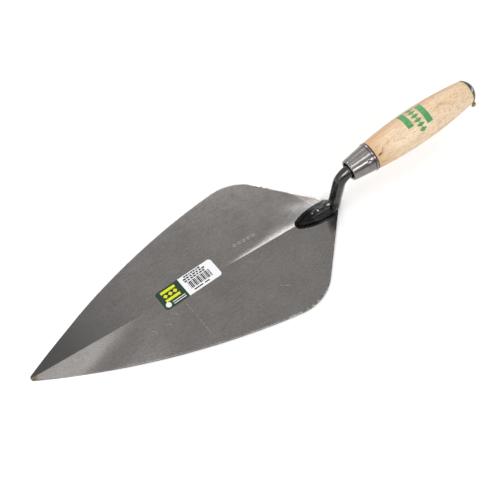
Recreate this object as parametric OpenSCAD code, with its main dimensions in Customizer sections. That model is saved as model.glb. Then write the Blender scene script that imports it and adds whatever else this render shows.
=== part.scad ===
// Brick trowel: a pointed steel blade, a cranked tang welded on it, and a ferruled wooden handle.
// Millimetres. +X runs from the blade's tip to the handle's butt, +Y is the left side, +Z is up.
// The origin is on the flat underside of the blade, on the centre line, halfway along its length.

/* [Blade] */
// Length from the tip to the point where the two heel edges would meet
blade_length = 280; // [250:1:310]
// Thickness of the flat middle of the blade
blade_thick = 1.8; // [1.4:0.1:2.6]
// Radius that rounds the tip
tip_radius = 2.8; // [1:0.1:6]
// Angle between the centre line and each side edge at the tip
tip_edge_angle = 28.3; // [24:0.1:32]
// Angle between the centre line and each side edge where the shoulder begins
shoulder_edge_angle = 8.3; // [4:0.1:12]
// Radius of the rounded shoulders
shoulder_radius = 40.5; // [25:0.5:55]
// Angle between the centre line and each heel edge
heel_angle = 48.6; // [42:0.1:56]
// Distance from the tip over which the blade is ground thinner
tip_grind_length = 75; // [40:1:95]
// Rise of the ridge in front of the tang, in millimetres per millimetre of length
ridge_rise = 0.010; // [0.004:0.001:0.016]

/* [Tang] */
// Length of the leaf-shaped foot
foot_length = 36.8; // [34:0.1:44]
// Half of the width of the foot
foot_half_width = 7.2; // [6:0.1:9]
// Thickness of the rim of the foot
foot_thick = 2.6; // [1.8:0.1:4]
// Radius of the round neck
neck_radius = 5.25; // [4:0.05:5.6]
// Centre line radius of the bend that turns the neck into the handle
bend_radius = 12; // [9:0.5:15]
// Angle of the rising part of the neck above the blade
neck_angle = 82.5; // [75:0.5:88]
// Radius of the prong inside the handle
prong_radius = 3.2; // [2.5:0.1:4]

/* [Handle] */
// Angle of the handle above the blade
handle_angle = 9; // [5:0.5:15]
// Height of the handle's axis at the front of the ferrule
handle_height = 38.9; // [34:0.1:46]
// Length from the front of the ferrule to the end of the butt cap
handle_length = 121.9; // [110:0.1:140]
// Largest radius of the wooden grip
grip_radius = 14.6; // [13:0.05:17]
// Radius of the long curve of the grip's outline
grip_curve = 325; // [280:5:420]
// Length of the ferrule
ferrule_length = 20.4; // [18:0.1:26]
// Thickness of the ferrule's wall
ferrule_wall = 0.9; // [0.6:0.1:1.2]
// Thickness of the butt cap
cap_wall = 0.7; // [0.5:0.1:1]

/* [Label] */
// Length of the label
label_length = 52.8; // [40:0.2:60]
// Width of the label
label_width = 18; // [14:0.2:24]

/* [Hidden] */
$fn = 96;

reach = 400;                                 // larger than the whole trowel, for the cutting blocks
overlap = 0.5;                               // how far a cutting tool runs past what it cuts
tip_x = -blade_length / 2;
heel_x = blade_length / 2;

// Blade: the outline is a chain of arcs, and the side arc's radius is what makes the length come out.
shoulder_fall = cos(shoulder_edge_angle) - cos(heel_angle);
shoulder_run = sin(shoulder_edge_angle) + sin(heel_angle);
side_rise = cos(shoulder_edge_angle) - cos(tip_edge_angle);
side_run = sin(tip_edge_angle) - sin(shoulder_edge_angle);
fixed_run = tip_radius * (1 - sin(tip_edge_angle)) + shoulder_radius * shoulder_run;
fixed_rise = tip_radius * cos(tip_edge_angle) - shoulder_radius * shoulder_fall;
side_radius = (blade_length - fixed_run - fixed_rise / tan(heel_angle))
    / (side_run + side_rise / tan(heel_angle));
heel_cut_x = heel_x - 5.5;                   // the heel's point is cut off square, under the foot
heel_half_width = (heel_x - heel_cut_x) * tan(heel_angle);
tip_grind_slope = atan(0.010);               // fall of the ground tip, along and across the blade
ridge_start_x = tip_x + 166;                 // in front of this the middle of the blade is flat
ridge_roll = atan(0.030);                    // fall of the ridge's two flanks
heel_bevel_spread = 5.7;                     // angle between a heel edge and the inner line of its bevel
heel_bevel_tilt = 8;                         // fall of the bevel towards the heel edge

// Tang: a leaf-shaped foot with a spine that climbs along it to the root of the neck
foot_front_x = heel_x - 41.8;
foot_rear_x = foot_front_x + foot_length;
foot_nose_radius = 2.6;
foot_nose_angle = 25;                        // heading of the foot's edge where its nose arc ends
foot_rear_radius = 6;
foot_side_radius = (foot_half_width - foot_nose_radius * cos(foot_nose_angle)) / (1 - cos(foot_nose_angle));
seat_depth = 0.9;                            // how far the foot reaches down behind the blade's heel
spine_lead = 6;                              // distance of the spine's front end from the foot's front
spine_height = 0.6;                          // height of that end above the blade
spine_climb = 5;                             // angle between the spine and the blade
spine_length = foot_length - 14;
spine_front_radius = 1.6;
spine_rear_radius = 5.2;
neck_root_height = 0.8;                      // height above the blade at which the neck starts in the foot
neck_clearance = 0.1;                        // the neck's straight parts are thinner than its bend by this
gusset_lead = 1.6;                           // the thickening in front of the neck's root
gusset_height = 9;
gusset_root_swell = 0.6;                     // its radius over the neck's at the root
gusset_top_shrink = 1.8;                     // and under the neck's at its top, where it is lost in the neck
weld_width = 2.2;
weld_height = 1.1;
weld_end_x = heel_x - 10;                    // the bead stops where the foot reaches the blade's edges

// Handle: distances marked "_at" are measured along the handle's axis from the front of the ferrule.
handle_x = heel_x + 7.4;
wood_front_at = 4;
bend_end_at = 0.3;
prong_end_at = 100;
belly_at = 63;                               // where the grip is thickest
ferrule_front_radius = 9.1;
ferrule_back_radius = 11.95;
lip_radius = 0.95;                           // the rolled front edge
bead_radius = 0.8;                           // the raised ring at the back edge
dome_radius = 11.4;                          // the rounded wooden end, under the cap
dome_at = handle_length - cap_wall - dome_radius;
dome_starts_at = dome_at + 3.5;              // where the grip's long curve meets the domed end
cap_rim_at = handle_length - 6.2;
grip_steps = 36;
dome_steps = 12;

nail_around = -61.3;                         // on the right side, low down
nail_from_axis = 65;                         // angle between the nail and the handle's axis
nail_head_radius = 2.2;
nail_head_top_radius = 1.2;
nail_head_height = 2.6;
nail_head_rim = nail_head_height / 3;        // height of the head's straight lower part
nail_shank_radius = 0.7;
nail_shank_length = 6;
dimple_at = 14.2;                            // the punched mark that holds the ferrule on the wood
dimple_around = -136;
dimple_radius = 3;                           // of the ball that presses it in
dimple_depth = 0.45;

label_thick = 0.15;
label_corner = 2.6;
label_x = tip_x + 137.6;                     // centre of the label
label_y = 3;
label_turn = 4.5;                            // it is stuck on a little askew

// ---- outline helpers ----

// Points of an arc that turns clockwise from one heading to another, without its first point
function arc_points(start, radius, from, to, steps) = [
    for (i = [1:steps])
        let (heading = from + (to - from) * i / steps)
            start + radius * [sin(from) - sin(heading), cos(heading) - cos(from)]
];

function last(list) = list[len(list) - 1];

// The given points and their mirror images on the other side of the X axis, as one closed outline
function both_sides(points) = concat(points, [
    for (i = [len(points) - 1:-1:0])
        if (points[i].y > 0) [points[i].x, -points[i].y]
]);

function blade_outline() =
    let (
        tip = [tip_x, 0],
        nose = arc_points(tip, tip_radius, 90, tip_edge_angle, 6),
        side = arc_points(last(nose), side_radius, tip_edge_angle, shoulder_edge_angle, 24),
        shoulder = arc_points(last(side), shoulder_radius, shoulder_edge_angle, -heel_angle, 16)
    )
    both_sides(concat([tip], nose, side, shoulder, [[heel_cut_x, heel_half_width]]));

function shoulder_end() =
    let (run = fixed_run + side_radius * side_run)
        [tip_x + run, (blade_length - run) * tan(heel_angle)];

// The foot's outline, grown outwards by a margin
function foot_outline(margin) =
    let (
        front = [foot_front_x - margin, 0],
        nose = arc_points(front, foot_nose_radius + margin, 90, foot_nose_angle, 8),
        side = arc_points(last(nose), foot_side_radius + margin, foot_nose_angle, 0, 10),
        corner = [foot_rear_x - foot_rear_radius, foot_half_width + margin],
        rear = arc_points(corner, foot_rear_radius + margin, 0, -90, 10)
    )
    both_sides(concat([front], nose, side, [corner], rear));

function grip_radius_at(at) = grip_radius - pow(at - belly_at, 2) / (2 * grip_curve);

// Outer radius of the ferrule's plain cone
function cone_radius_at(at) =
    ferrule_front_radius + (ferrule_back_radius - ferrule_front_radius) * at / ferrule_length;

// ---- solid helpers ----

// Everything below a plane through a point, pitched up along its heading and rolled about it
module below_plane(point, heading, pitch, roll)
    translate(point)
        rotate([0, 0, heading])
            rotate([0, -pitch, 0])
                rotate([roll, 0, 0])
                    translate([-reach, -reach, -2 * reach])
                        cube(2 * reach);

// Everything below a roof whose ridge starts at a point on the centre line and climbs along +X
module below_roof(start_x, pitch, roll)
    intersection() {
        below_plane([start_x, 0, blade_thick], 0, pitch, roll);
        below_plane([start_x, 0, blade_thick], 0, pitch, -roll);
    }

module heel_bevel()
    below_plane(
        [shoulder_end().x, shoulder_end().y, blade_thick],
        -(heel_angle + heel_bevel_spread), 0, -heel_bevel_tilt
    );

// Everything below the blade's upper surface behind the ground tip
module below_blade_top()
    intersection() {
        union() {
            below_plane([0, 0, blade_thick], 0, 0, 0);
            below_roof(ridge_start_x, atan(ridge_rise), ridge_roll);
        }
        heel_bevel();
        mirror([0, 1, 0]) heel_bevel();
    }

// The part of that block that reaches back to the blade's square-cut heel, for cutting what sits on it
module heel_seat()
    difference() {
        below_blade_top();
        translate([heel_cut_x, -reach, -reach])
            cube(2 * reach);
    }

// Places children on the handle's axis: their +Z runs along it to the butt
module on_handle(at)
    translate([handle_x, 0, handle_height])
        rotate([0, 90 - handle_angle, 0])
            translate([0, 0, at])
                children();

module ring(at, radius, thickness)
    on_handle(at)
        rotate_extrude()
            translate([radius, 0])
                circle(thickness);

// The nail's own frame: its origin is on the cap's outer surface, and its +Z points out of the wood
module on_nail()
    on_handle(dome_at)
        rotate([0, 0, nail_around])
            rotate([0, nail_from_axis, 0])
                translate([0, 0, dome_radius + cap_wall])
                    children();

// ---- sub-parts ----

module blade()
    color([0.50, 0.49, 0.48])
        intersection() {
            linear_extrude(height = 2 * blade_thick)
                polygon(blade_outline());
            below_roof(tip_x + tip_grind_length, tip_grind_slope, tip_grind_slope);
            below_blade_top();
        }

module foot() {
    translate([0, 0, blade_thick - seat_depth])
        linear_extrude(height = seat_depth + foot_thick)
            polygon(foot_outline(0));
    translate([foot_front_x + spine_lead, 0, blade_thick + spine_height])
        rotate([0, 90 - spine_climb, 0])
            cylinder(h = spine_length, r1 = spine_front_radius, r2 = spine_rear_radius);
}

// The straight parts of the neck end inside the bend, and are a hair thinner than it.
module neck() {
    bend_end = [handle_x + bend_end_at * cos(handle_angle), handle_height + bend_end_at * sin(handle_angle)];
    centre = bend_end + bend_radius * [sin(handle_angle), -cos(handle_angle)];
    bend_start = centre + bend_radius * [-sin(neck_angle), cos(neck_angle)];
    straight_radius = neck_radius - neck_clearance;
    root_z = blade_thick + neck_root_height;
    riser_length = (bend_start.y - root_z) / sin(neck_angle);
    translate([bend_start.x - riser_length * cos(neck_angle), 0, root_z])
        rotate([0, 90 - neck_angle, 0]) {
            cylinder(h = riser_length + overlap, r = straight_radius);
            translate([-gusset_lead, 0, 0])
                cylinder(
                    h = gusset_height,
                    r1 = straight_radius + gusset_root_swell,
                    r2 = straight_radius - gusset_top_shrink
                );
        }
    translate([centre.x, 0, centre.y])
        rotate([90, 0, 0])
            rotate([0, 0, handle_angle + 90])
                rotate_extrude(angle = neck_angle - handle_angle)
                    translate([bend_radius, 0])
                        circle(neck_radius);
    on_handle(bend_end_at - overlap)
        cylinder(h = wood_front_at - bend_end_at + overlap, r = straight_radius);
    on_handle(wood_front_at - overlap)
        cylinder(h = prong_end_at - wood_front_at + overlap, r = prong_radius);
}

module tang()
    color([0.06, 0.06, 0.06])
        difference() {
            union() {
                foot();
                neck();
            }
            heel_seat();
        }

module weld_bead()
    color([0.09, 0.09, 0.09])
        difference() {
            translate([0, 0, blade_thick - seat_depth])
                linear_extrude(height = seat_depth + weld_height)
                    polygon(foot_outline(weld_width));
            linear_extrude(height = blade_thick + foot_thick)
                polygon(foot_outline(0));
            heel_seat();
            translate([weld_end_x, -reach, -reach])
                cube(2 * reach);
        }

module ferrule()
    color([0.62, 0.62, 0.61])
        difference() {
            union() {
                on_handle(0)
                    cylinder(h = ferrule_length, r1 = ferrule_front_radius, r2 = ferrule_back_radius);
                ring(0, ferrule_front_radius - lip_radius, lip_radius);
                ring(ferrule_length - bead_radius, ferrule_back_radius - bead_radius / 2, bead_radius);
            }
            on_handle(lip_radius)
                cylinder(
                    h = ferrule_length,
                    r1 = cone_radius_at(lip_radius) - ferrule_wall,
                    r2 = cone_radius_at(lip_radius + ferrule_length) - ferrule_wall
                );
            on_handle(-reach / 2)
                cylinder(h = reach, r = ferrule_front_radius - 2 * lip_radius);
            on_handle(dimple_at)
                rotate([0, 0, dimple_around])
                    translate([cone_radius_at(dimple_at) + dimple_radius - dimple_depth, 0, 0])
                        sphere(dimple_radius);
        }

// The wooden grip's half outline, as [radius, distance along the axis]
function grip_outline() = [
    [0, wood_front_at],
    [cone_radius_at(wood_front_at) - ferrule_wall, wood_front_at],
    [cone_radius_at(ferrule_length) - ferrule_wall, ferrule_length],
    for (i = [0:grip_steps])
        let (at = ferrule_length + (dome_starts_at - ferrule_length) * i / grip_steps)
            [grip_radius_at(at), at],
    for (i = [1:dome_steps])
        let (
            widest_angle = acos((dome_starts_at - dome_at) / dome_radius),
            angle = widest_angle * (1 - i / dome_steps)
        )
            [dome_radius * sin(angle), dome_at + dome_radius * cos(angle)]
];

module handle()
    color([0.86, 0.72, 0.52])
        difference() {
            on_handle(0)
                rotate_extrude()
                    polygon(grip_outline());
            on_handle(wood_front_at - overlap)
                cylinder(h = prong_end_at - wood_front_at + overlap, r = prong_radius);
            on_nail()
                translate([0, 0, -nail_shank_length])
                    cylinder(h = nail_shank_length + overlap, r = nail_shank_radius);
        }

module butt_cap()
    color([0.55, 0.55, 0.56])
        difference() {
            on_handle(dome_at)
                sphere(dome_radius + cap_wall);
            on_handle(dome_at)
                sphere(dome_radius);
            on_handle(cap_rim_at - reach)
                cylinder(h = reach, r = reach);
        }

module cap_nail()
    color([0.62, 0.50, 0.30])
        on_nail() {
            translate([0, 0, -nail_shank_length])
                cylinder(h = nail_shank_length, r = nail_shank_radius);
            cylinder(h = nail_head_rim, r = nail_head_radius);
            translate([0, 0, nail_head_rim])
                cylinder(
                    h = nail_head_height - nail_head_rim,
                    r1 = nail_head_radius,
                    r2 = nail_head_top_radius
                );
        }

module label()
    color([0.86, 0.88, 0.85])
        translate([label_x, label_y, blade_thick])
            rotate([0, 0, label_turn]) {
                inner_length = label_length - 2 * label_corner;
                inner_width = label_width - 2 * label_corner;
                translate([-label_length / 2, -inner_width / 2, 0])
                    cube([label_length, inner_width, label_thick]);
                translate([-inner_length / 2, -label_width / 2, 0])
                    cube([inner_length, label_width, label_thick]);
                for (x = [-inner_length / 2, inner_length / 2], y = [-inner_width / 2, inner_width / 2])
                    translate([x, y, 0])
                        cylinder(h = label_thick, r = label_corner);
            }

blade();
tang();
weld_bead();
ferrule();
handle();
butt_cap();
cap_nail();
label();
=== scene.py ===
"""Looks of a brick trowel: blade, tang, ferrule, grip, cap, nail and label. Metres, in the part's frame."""

import math

import bmesh
import bpy
from mathutils import Euler, Matrix, Vector, noise


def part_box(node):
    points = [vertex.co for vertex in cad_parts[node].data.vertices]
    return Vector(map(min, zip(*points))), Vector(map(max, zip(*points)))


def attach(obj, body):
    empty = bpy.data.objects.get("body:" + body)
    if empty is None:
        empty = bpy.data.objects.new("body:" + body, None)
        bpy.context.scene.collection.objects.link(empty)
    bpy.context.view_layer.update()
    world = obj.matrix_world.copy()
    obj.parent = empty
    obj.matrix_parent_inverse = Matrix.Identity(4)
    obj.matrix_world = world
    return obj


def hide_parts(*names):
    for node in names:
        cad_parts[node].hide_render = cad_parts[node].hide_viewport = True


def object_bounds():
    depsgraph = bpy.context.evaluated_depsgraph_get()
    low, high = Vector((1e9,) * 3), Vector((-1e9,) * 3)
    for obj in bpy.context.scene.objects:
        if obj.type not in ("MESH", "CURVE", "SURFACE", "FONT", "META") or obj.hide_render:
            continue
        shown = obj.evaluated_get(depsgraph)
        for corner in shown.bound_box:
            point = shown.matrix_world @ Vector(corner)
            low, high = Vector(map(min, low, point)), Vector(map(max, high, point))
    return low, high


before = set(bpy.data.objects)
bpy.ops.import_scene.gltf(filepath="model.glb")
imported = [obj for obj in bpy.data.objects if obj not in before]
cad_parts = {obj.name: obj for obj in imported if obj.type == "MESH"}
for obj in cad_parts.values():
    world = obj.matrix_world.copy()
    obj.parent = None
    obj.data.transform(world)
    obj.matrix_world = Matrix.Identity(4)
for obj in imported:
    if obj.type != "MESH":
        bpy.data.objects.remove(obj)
cad_low, cad_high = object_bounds()

MM = 0.001

# ------------ the frame's places

BLADE_LOW, BLADE_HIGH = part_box("blade")
TANG_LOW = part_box("tang")[0]
FERRULE_LOW, FERRULE_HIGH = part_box("ferrule")
LABEL_LOW, LABEL_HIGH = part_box("label")

TIP_X = BLADE_LOW.x
HEEL_X = -TIP_X
HEEL_CUT_X = BLADE_HIGH.x
BLADE_THICK = LABEL_LOW.z
FOOT_FRONT_X = TANG_LOW.x

# Handle axis: its angle and the ferrule's rings give the point where it starts.
HANDLE_ANGLE = math.radians(9)
FERRULE_LENGTH = 20.4 * MM
FERRULE_FRONT_RADIUS = 9.1 * MM
FERRULE_BACK_RADIUS = 11.95 * MM
FERRULE_WALL = 0.9 * MM
LIP_RADIUS = 0.95 * MM
BEAD_RADIUS = 0.8 * MM
BEAD_AT = FERRULE_LENGTH - BEAD_RADIUS
BEAD_RING = FERRULE_BACK_RADIUS - BEAD_RADIUS / 2
HANDLE_START = Vector((
    FERRULE_LOW.x + LIP_RADIUS + (FERRULE_FRONT_RADIUS - LIP_RADIUS) * math.sin(HANDLE_ANGLE),
    0,
    FERRULE_HIGH.z - BEAD_RADIUS - BEAD_AT * math.sin(HANDLE_ANGLE) - BEAD_RING * math.cos(HANDLE_ANGLE),
))
HANDLE_TURN = Euler((0, math.pi / 2 - HANDLE_ANGLE, 0))
ON_HANDLE = Matrix.Translation(HANDLE_START) @ HANDLE_TURN.to_matrix().to_4x4()

# ------------ small helpers

ON_AXIS = 0.0001 * MM              # a point that is nearer is on the axis, or on the centre line


def between(start, end, share):
    return start + (end - start) * share


def shares(steps, first=0):
    """Even shares of a length up to 1, from 0 or from a later step."""
    return [step / steps for step in range(first, steps + 1)]


def turns(steps):
    """Angles at even steps round a full turn."""
    return [2 * math.pi * step / steps for step in range(steps)]


def neighbours(points, index):
    """The points before and after one of them, or that one itself at an end."""
    return points[max(0, index - 1)], points[min(len(points) - 1, index + 1)]


def smooth_step(low, high, value):
    """From 0 at low to 1 at high; low may be the larger."""
    share = min(1.0, max(0.0, (value - low) / (high - low)))
    return share * share * (3 - 2 * share)


def speckle(point, size, seed=0.0):
    """Smooth random value from -1 to 1 that changes over the given size."""
    return noise.noise(Vector(point) / size + Vector((seed, seed, seed)))


def new_object(name, data):
    """Puts a mesh, a light or a camera into the scene."""
    thing = bpy.data.objects.new(name, data)
    bpy.context.scene.collection.objects.link(thing)
    return thing


def finish_piece(piece_mesh, name, replaced, materials, smooth_angle=40):
    """Turns a bmesh into a piece that rides on the root body and stands for the named CAD nodes."""
    bmesh.ops.recalc_face_normals(piece_mesh, faces=piece_mesh.faces)
    mesh = bpy.data.meshes.new(name)
    piece_mesh.to_mesh(mesh)
    piece_mesh.free()
    for material in materials:
        mesh.materials.append(material)
    mesh.shade_smooth()
    mesh.set_sharp_from_angle(angle=math.radians(smooth_angle))
    piece = new_object(name, mesh)
    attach(piece, "root")
    if replaced:
        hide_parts(*replaced)
    return piece


def join_rings(target, first, second):
    """Faces between two rings of points. A ring of one point closes the surface there."""
    steps = max(len(first), len(second))
    for step in range(steps):
        after = (step + 1) % steps
        if len(first) == 1:
            corners = (first[0], second[step], second[after])
        elif len(second) == 1:
            corners = (first[step], second[0], first[after])
        else:
            corners = (first[step], second[step], second[after], first[after])
        target.faces.new(corners)


def join_tube(target, rings):
    """Faces along a row of rings and over its two ends."""
    for first, second in zip(rings, rings[1:]):
        join_rings(target, first, second)
    target.faces.new(list(reversed(rings[0])))
    target.faces.new(rings[-1])


def add_lathe(target, profile, steps, place, shift=None):
    """Turns a closed or axis-to-axis profile of (radius, distance) about the place's Z axis.

    shift(radius, distance, around) may return a small change of the radius.
    """
    rings = []
    for radius, at in profile:
        if radius < ON_AXIS:
            rings.append([target.verts.new(place @ Vector((0, 0, at)))])
            continue
        ring = []
        for around in turns(steps):
            grown = radius + (shift(radius, at, around) if shift else 0.0)
            local = Vector((grown * math.cos(around), grown * math.sin(around), at))
            ring.append(target.verts.new(place @ local))
        rings.append(ring)
    if profile[0][0] > ON_AXIS:
        rings.append(rings[0])
    for first, second in zip(rings, rings[1:]):
        join_rings(target, first, second)


def arc_profile(centre_radius, centre_at, radius, start, end, steps):
    """Points of an arc in the (radius, distance) plane, from one angle in degrees to another."""
    angles = [math.radians(between(start, end, share)) for share in shares(steps)]
    return [
        (centre_radius + radius * math.cos(angle), centre_at + radius * math.sin(angle))
        for angle in angles
    ]


# ------------ material helpers


def feed(tree, target, source):
    """Gives an input another node's output, or a constant."""
    if isinstance(source, bpy.types.NodeSocket):
        tree.links.new(source, target)
    else:
        target.default_value = source


def add_node(tree, kind, inputs, output, **settings):
    """Adds a node with those settings and inputs, and returns its named output."""
    node = tree.nodes.new("ShaderNode" + kind)
    for setting, value in settings.items():
        setattr(node, setting, value)
    for socket, source in inputs.items():
        feed(tree, node.inputs[socket], source)
    return node.outputs[output]


def add_fade(tree, source, low, high, at_low, at_high):
    """Smoothly from at_low where the source is low to at_high where it is high."""
    inputs = {"Value": source, "From Min": low, "From Max": high, "To Min": at_low, "To Max": at_high}
    return add_node(tree, "MapRange", inputs, "Result", interpolation_type="SMOOTHSTEP")


def colour(red, green, blue):
    """A colour given as it looks, from 0 to 255, as the linear values that a shader takes."""
    seen = [level / 255 for level in (red, green, blue)]
    linear = [((level + 0.055) / 1.055) ** 2.4 if level > 0.04045 else level / 12.92 for level in seen]
    return (*linear, 1.0)


class Shader:
    """A Principled material: its base colour is built up by blend and tint, and connected by finished."""

    def __init__(self, name, **values):
        self.material = bpy.data.materials.new(name)
        self.material.use_nodes = True
        self.tree = self.material.node_tree
        self.principled = self.tree.nodes["Principled BSDF"]
        for socket, value in values.items():
            self.drive(socket.replace("_", " "), value)
        self.place = add_node(self.tree, "TexCoord", {}, "Object")
        self.base = colour(255, 255, 255)

    def drive(self, socket, source):
        feed(self.tree, self.principled.inputs[socket], source)

    def mapped(self, location=(0, 0, 0), turn=(0, 0, 0), scale=(1, 1, 1)):
        """The object's coordinates seen from a frame at that place, stretched by scale."""
        inputs = {"Vector": self.place, "Location": location, "Rotation": turn}
        in_frame = add_node(self.tree, "Mapping", inputs, "Vector", vector_type="TEXTURE")
        return add_node(self.tree, "Mapping", {"Vector": in_frame, "Scale": scale}, "Vector")

    def on_handle(self, scale=(1, 1, 1)):
        """Coordinates with Z along the handle's axis, from where it starts."""
        return self.mapped(HANDLE_START, HANDLE_TURN, scale)

    def noise(self, vector, scale, detail=3.0, rough=0.5, distort=0.0):
        inputs = {
            "Vector": vector, "Scale": scale, "Detail": detail, "Roughness": rough, "Distortion": distort,
        }
        return add_node(self.tree, "TexNoise", inputs, "Fac")

    def specks(self, vector, scale):
        """Distance to the nearest of many scattered points."""
        return add_node(self.tree, "TexVoronoi", {"Vector": vector, "Scale": scale}, "Distance")

    def maths(self, operation, first, second=0.0, third=0.0):
        inputs = {0: first, 1: second, 2: third}
        return add_node(self.tree, "Math", inputs, "Value", operation=operation)

    def times(self, product, *factors):
        for factor in factors:
            product = self.maths("MULTIPLY", product, factor)
        return product

    def fade(self, source, low, high, at_low=0.0, at_high=1.0):
        return add_fade(self.tree, source, low, high, at_low, at_high)

    def attribute(self, name):
        return add_node(self.tree, "Attribute", {}, "Fac", attribute_name=name)

    def split(self, vector, axes):
        """The vector's components along the named axes."""
        return [add_node(self.tree, "SeparateXYZ", {"Vector": vector}, axis) for axis in axes]

    def length(self, vector):
        return add_node(self.tree, "VectorMath", {0: vector}, "Value", operation="LENGTH")

    def mix(self, share, first, second):
        inputs = {"Factor": share, "A": first, "B": second}
        return add_node(self.tree, "Mix", inputs, "Result", data_type="RGBA")

    def bump(self, height, distance, under=None):
        """A normal for bumps of that height, on top of the bumps under it."""
        inputs = {"Strength": 1.0, "Distance": distance, "Height": height}
        if under is not None:
            inputs["Normal"] = under
        return add_node(self.tree, "Bump", inputs, "Normal")

    def blend(self, share, first, second):
        """Starts the base colour as a blend of two colours."""
        self.base = self.mix(share, colour(*first), colour(*second))

    def tint(self, share, *levels):
        """Mixes one more colour into the base colour."""
        self.base = self.mix(share, self.base, colour(*levels))

    def finished(self, roughness, normal):
        self.drive("Base Color", self.base)
        self.drive("Roughness", roughness)
        self.drive("Normal", normal)
        return self.material


# ------------ blade shape

TIP_RADIUS = 2.8 * MM
TIP_EDGE_ANGLE = math.radians(28.3)
SHOULDER_EDGE_ANGLE = math.radians(8.3)
SHOULDER_RADIUS = 40.5 * MM
HEEL_ANGLE = math.radians(48.6)
EDGE_ROUNDING = 0.45 * MM
UNDER_ROUNDING = 0.6               # rounding of the lower edge, as a share of the upper edge's
FULLY_ROUNDED_AT = 2.2             # a blade thinner than this many roundings is rounded less
HEEL_CUT_INSET = 0.1 * MM          # the short cut at the heel is rounded as if it were this far off
EDGE_ATTRIBUTE = "edge_distance"   # millimetres inside the outline, for the worn rim
UPPER_ATTRIBUTE = "upper_face"     # 1 on the upper face and 0 on the underside, for the marks

TIP_FACET_LENGTH = 92 * MM
TIP_FACET_SLANT = 1.9              # the facets reach this much less far per unit of width
TIP_FACET_FADE = 30 * MM           # half the length over which they run out into the flats
TIP_FACET_SLOPE = 0.062
TIP_FALL = 0.008
RIDGE_START = 155 * MM             # distances along the blade are measured from the tip
RIDGE_FULL = 185 * MM              # from here the ridge keeps its slope and only widens
RIDGE_NARROW = 2.5 * MM
RIDGE_WIDE = 14 * MM
RIDGE_WIDEST = 250 * MM
RIDGE_SLOPE = 0.088
RIDGE_CREST_SLOPE = 0.050          # added close to the crease
RIDGE_CREST_WIDTH = 3 * MM
CREASE_SLOPE = 0.008               # fall beside the crease between the tip's facets and the ridge
CREASE_WIDTH = 14 * MM
CREASE_START = 120 * MM            # the fall beside the crease grows from here towards the tip
CREASE_FULL = 60 * MM
MOUND_CENTRE = (243 * MM, 13 * MM)
MOUND_SIZE = (14 * MM, 8 * MM)
MOUND_HEIGHT = 0.30 * MM
HEEL_BEVEL_SPREAD = math.radians(16.5)
HEEL_BEVEL_HALF_WIDTH = 36 * MM    # the bevel along the heel ends this far from the centre line
HEEL_BEVEL_SLOPE = math.tan(math.radians(3))

# Scratches as (start, end, width), from the tip and from the centre line
SCRATCHES = (
    ((127 * MM, -8 * MM), (131 * MM, -48 * MM), 0.22 * MM),
    ((196 * MM, -38 * MM), (204 * MM, -43 * MM), 0.30 * MM),
    ((113 * MM, -11 * MM), (118 * MM, -16 * MM), 0.25 * MM),
    ((104 * MM, -17 * MM), (110 * MM, -21 * MM), 0.20 * MM),
    ((92 * MM, -13 * MM), (97 * MM, -22 * MM), 0.18 * MM),
)
STAMP_CENTRE = (195 * MM, 13 * MM)
STAMP_PITCH = 4.4 * MM
STAMP_COUNT = 5
STAMP_HALF_WIDTH = 1.6 * MM
STAMP_HALF_LENGTH = STAMP_PITCH / 2.6
STAMP_LINE_AT = 0.85               # where a lozenge's outline lies, as a share of its half sizes
STAMP_STRENGTH = 0.45
SCRATCH_WANDER = 1.2 * MM
SCRATCH_STRENGTH = 0.8
GRIND_TURN = (0, 0, math.radians(6))
CROSS_TURN = (0, 0, math.radians(-38))


def arc_points(start, radius, start_heading, end_heading, steps):
    """Points of an arc that turns clockwise from one heading to another, without its first point."""
    centre_x = start[0] + radius * math.sin(start_heading)
    centre_y = start[1] - radius * math.cos(start_heading)
    headings = [between(start_heading, end_heading, share) for share in shares(steps, 1)]
    return [(centre_x - radius * math.sin(turn), centre_y + radius * math.cos(turn)) for turn in headings]


def blade_side():
    """The left half of the blade's outline, from the tip to the heel."""
    shoulder_run = math.sin(SHOULDER_EDGE_ANGLE) + math.sin(HEEL_ANGLE)
    shoulder_fall = math.cos(SHOULDER_EDGE_ANGLE) - math.cos(HEEL_ANGLE)
    side_run = math.sin(TIP_EDGE_ANGLE) - math.sin(SHOULDER_EDGE_ANGLE)
    side_rise = math.cos(SHOULDER_EDGE_ANGLE) - math.cos(TIP_EDGE_ANGLE)
    fixed_run = TIP_RADIUS * (1 - math.sin(TIP_EDGE_ANGLE)) + SHOULDER_RADIUS * shoulder_run
    fixed_rise = TIP_RADIUS * math.cos(TIP_EDGE_ANGLE) - SHOULDER_RADIUS * shoulder_fall
    heel_slope = math.tan(HEEL_ANGLE)
    free_run = HEEL_X - TIP_X - fixed_run - fixed_rise / heel_slope
    side_radius = free_run / (side_run + side_rise / heel_slope)
    tip = [(TIP_X, 0.0)]
    nose = arc_points(tip[0], TIP_RADIUS, math.pi / 2, TIP_EDGE_ANGLE, 10)
    side = arc_points(nose[-1], side_radius, TIP_EDGE_ANGLE, SHOULDER_EDGE_ANGLE, 48)
    shoulder = arc_points(side[-1], SHOULDER_RADIUS, SHOULDER_EDGE_ANGLE, -HEEL_ANGLE, 40)
    heel_places = [between(shoulder[-1][0], HEEL_CUT_X, share) for share in shares(36, 1)]
    heel = [(x, (HEEL_X - x) * heel_slope) for x in heel_places]
    return tip + nose + side + shoulder + heel


BLADE_SIDE = blade_side()


def soft_rise(distance, softness):
    """Rises with the distance once that is positive, and stays flat before, without a corner between."""
    return softness * math.log1p(math.exp(distance / softness))


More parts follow.
